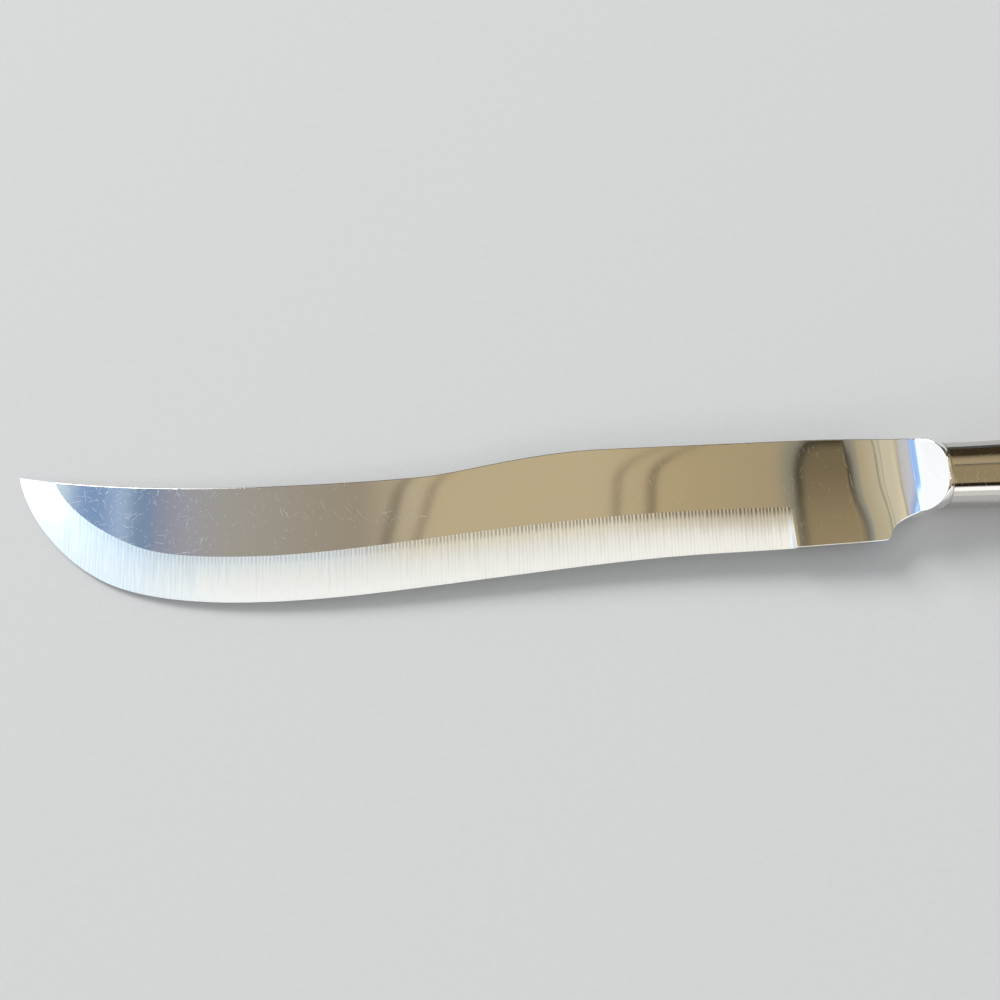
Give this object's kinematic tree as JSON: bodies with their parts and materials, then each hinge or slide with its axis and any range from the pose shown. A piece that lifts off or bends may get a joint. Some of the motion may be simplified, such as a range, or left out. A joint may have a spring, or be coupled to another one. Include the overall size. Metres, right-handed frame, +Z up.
{
  "type": "carving knife",
  "caption": "Carving knife: curved slicing blade with a satin bevel, a notched heel and a bolster, on a hollow polished steel handle.",
  "frame": {"origin": "middle of the knife's footprint, on the surface it lies on", "axes": "+X from the tip towards the butt of the handle, +Y from the cutting edge towards the back, +Z up, away from the surface under the knife lying on its right side"},
  "size_m": [0.3462, 0.0346, 0.0196],
  "materials": {
    "blade_steel": "mirror polished flats with a satin ground bevel",
    "handle_steel": "polished, finely scratched by use",
    "brazing": "filed flush and polished",
    "filling": "set handle cement, matt",
    "bar_steel": "cut round bar, unpolished"
  },
  "bodies": {
    "root": {"blade": "blade_steel", "handle_shell_left": "handle_steel", "handle_shell_right": "handle_steel", "front_ring": "brazing", "seam_strips": "brazing", "rear_ring": "brazing", "butt_cap": "handle_steel", "handle_filling": "filling", "balance_bar": "bar_steel"}
  },
  "joints": []
}
